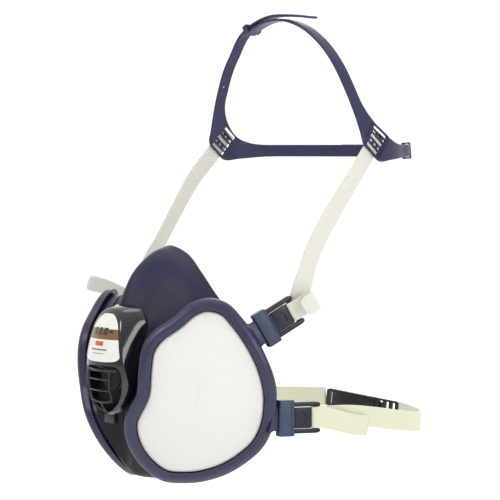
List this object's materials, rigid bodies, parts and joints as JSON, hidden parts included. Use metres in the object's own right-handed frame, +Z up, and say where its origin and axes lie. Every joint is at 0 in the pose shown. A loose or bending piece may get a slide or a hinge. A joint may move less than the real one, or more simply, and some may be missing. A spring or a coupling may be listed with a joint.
{
  "type": "half mask respirator",
  "caption": "Half-mask respirator with side filters in heart-shaped rims, a front exhalation valve under a cover, buckled elastic straps, a head cradle and a neck clasp.",
  "frame": {"origin": "middle of the opening that meets the face", "axes": "+Z up, the valve cover faces -Y, +X is the wearer's left"},
  "size_m": [0.1695, 0.1948, 0.2519],
  "materials": {
    "navy_plastic": "fine-textured moulded navy plastic",
    "white_fleece": "white needled filter fleece",
    "carbon_granules": "black granular bed",
    "black_plastic": "black moulded plastic",
    "silicone": "black soft valve rubber",
    "soft_facepiece": "soft navy moulded facepiece",
    "black_gloss": "polished black plastic",
    "label_film": "printed label film",
    "blue_grey_plastic": "blue-grey moulded plastic",
    "steel_pin": "plain steel pin",
    "elastic_webbing": "cream knitted elastic"
  },
  "bodies": {
    "mask": {"filter_rim_left": "navy_plastic", "filter_fleece_left": "white_fleece", "carbon_bed_left": "carbon_granules", "filter_tray_left": "navy_plastic", "inhalation_seat_left": "black_plastic", "filter_rim_right": "navy_plastic", "filter_fleece_right": "white_fleece", "carbon_bed_right": "carbon_granules", "filter_tray_right": "navy_plastic", "inhalation_seat_right": "black_plastic", "facepiece": "soft_facepiece", "exhalation_seat": "black_plastic", "valve_cover": "black_gloss", "cover_label": "label_film", "buckle_frame_upper_left": "blue_grey_plastic", "buckle_pin_upper_left": "steel_pin", "buckle_frame_upper_right": "blue_grey_plastic", "buckle_pin_upper_right": "steel_pin", "buckle_frame_lower_left": "blue_grey_plastic", "buckle_pin_lower_left": "steel_pin", "buckle_frame_lower_right": "blue_grey_plastic", "buckle_pin_lower_right": "steel_pin"},
    "head_harness": {"cradle_half_left": "navy_plastic", "cradle_half_right": "navy_plastic", "upper_strap_left": "elastic_webbing", "upper_strap_right": "elastic_webbing"},
    "neck_harness": {"neck_strap_left": "elastic_webbing", "neck_strap_right": "elastic_webbing", "neck_clasp_socket": "black_plastic"},
    "neck_clasp_hook": {"neck_clasp_hook": "black_plastic"},
    "exhalation_flap": {"exhalation_flap": "silicone"},
    "inhalation_flap_left": {"inhalation_flap_left": "silicone"},
    "inhalation_flap_right": {"inhalation_flap_right": "silicone"},
    "lever_upper_left": {"buckle_lever_upper_left": "navy_plastic"},
    "lever_upper_right": {"buckle_lever_upper_right": "navy_plastic"},
    "lever_lower_left": {"buckle_lever_lower_left": "navy_plastic"},
    "lever_lower_right": {"buckle_lever_lower_right": "navy_plastic"}
  },
  "joints": [
    {"name": "head_harness_swing", "type": "hinge", "parent": "mask", "child": "head_harness", "pos_m": [0, 0.0084, 0.03415], "axis": [1, 0, 0], "range_deg": [-30, 90], "deforming": ["upper_strap_left", "upper_strap_right"]},
    {"name": "neck_strap_swing", "type": "hinge", "parent": "mask", "child": "neck_harness", "pos_m": [0, 0.01978, -0.02248], "axis": [1, 0, 0], "range_deg": [-75, 25], "deforming": ["neck_strap_left", "neck_strap_right"]},
    {"name": "neck_clasp_release", "type": "hinge", "parent": "neck_harness", "child": "neck_clasp_hook", "pos_m": [-0.02084, 0.1134, -0.02841], "axis": [0.093, 0.024, 0.9954], "range_deg": [0, 50]},
    {"name": "lever_upper_left_lift", "type": "hinge", "parent": "mask", "child": "lever_upper_left", "pos_m": [0.06363, -0.00279, 0.02754], "axis": [0.242, 0.4339, -0.8679], "range_deg": [0, 35]},
    {"name": "lever_upper_right_lift", "type": "hinge", "parent": "mask", "child": "lever_upper_right", "pos_m": [-0.06363, -0.00279, 0.02754], "axis": [0.242, -0.4339, 0.8679], "range_deg": [0, 35]},
    {"name": "lever_lower_left_lift", "type": "hinge", "parent": "mask", "child": "lever_lower_left", "pos_m": [0.06756, 0.00691, -0.02221], "axis": [0.041, -0.034, -0.9986], "range_deg": [0, 35]},
    {"name": "lever_lower_right_lift", "type": "hinge", "parent": "mask", "child": "lever_lower_right", "pos_m": [-0.06756, 0.00691, -0.02221], "axis": [0.041, 0.034, 0.9986], "range_deg": [0, 35]},
    {"name": "exhalation_flap_lift", "type": "slide", "parent": "mask", "child": "exhalation_flap", "axis": [0, -1, 0], "range_m": [0, 0.002], "stiffness_N_per_m": 20},
    {"name": "inhalation_flap_left_lift", "type": "slide", "parent": "mask", "child": "inhalation_flap_left", "axis": [-0.7878, 0.6159, 0], "range_m": [0, 0.0025], "stiffness_N_per_m": 20},
    {"name": "inhalation_flap_right_lift", "type": "slide", "parent": "mask", "child": "inhalation_flap_right", "axis": [0.7878, 0.6159, 0], "range_m": [0, 0.0025], "stiffness_N_per_m": 20}
  ]
}
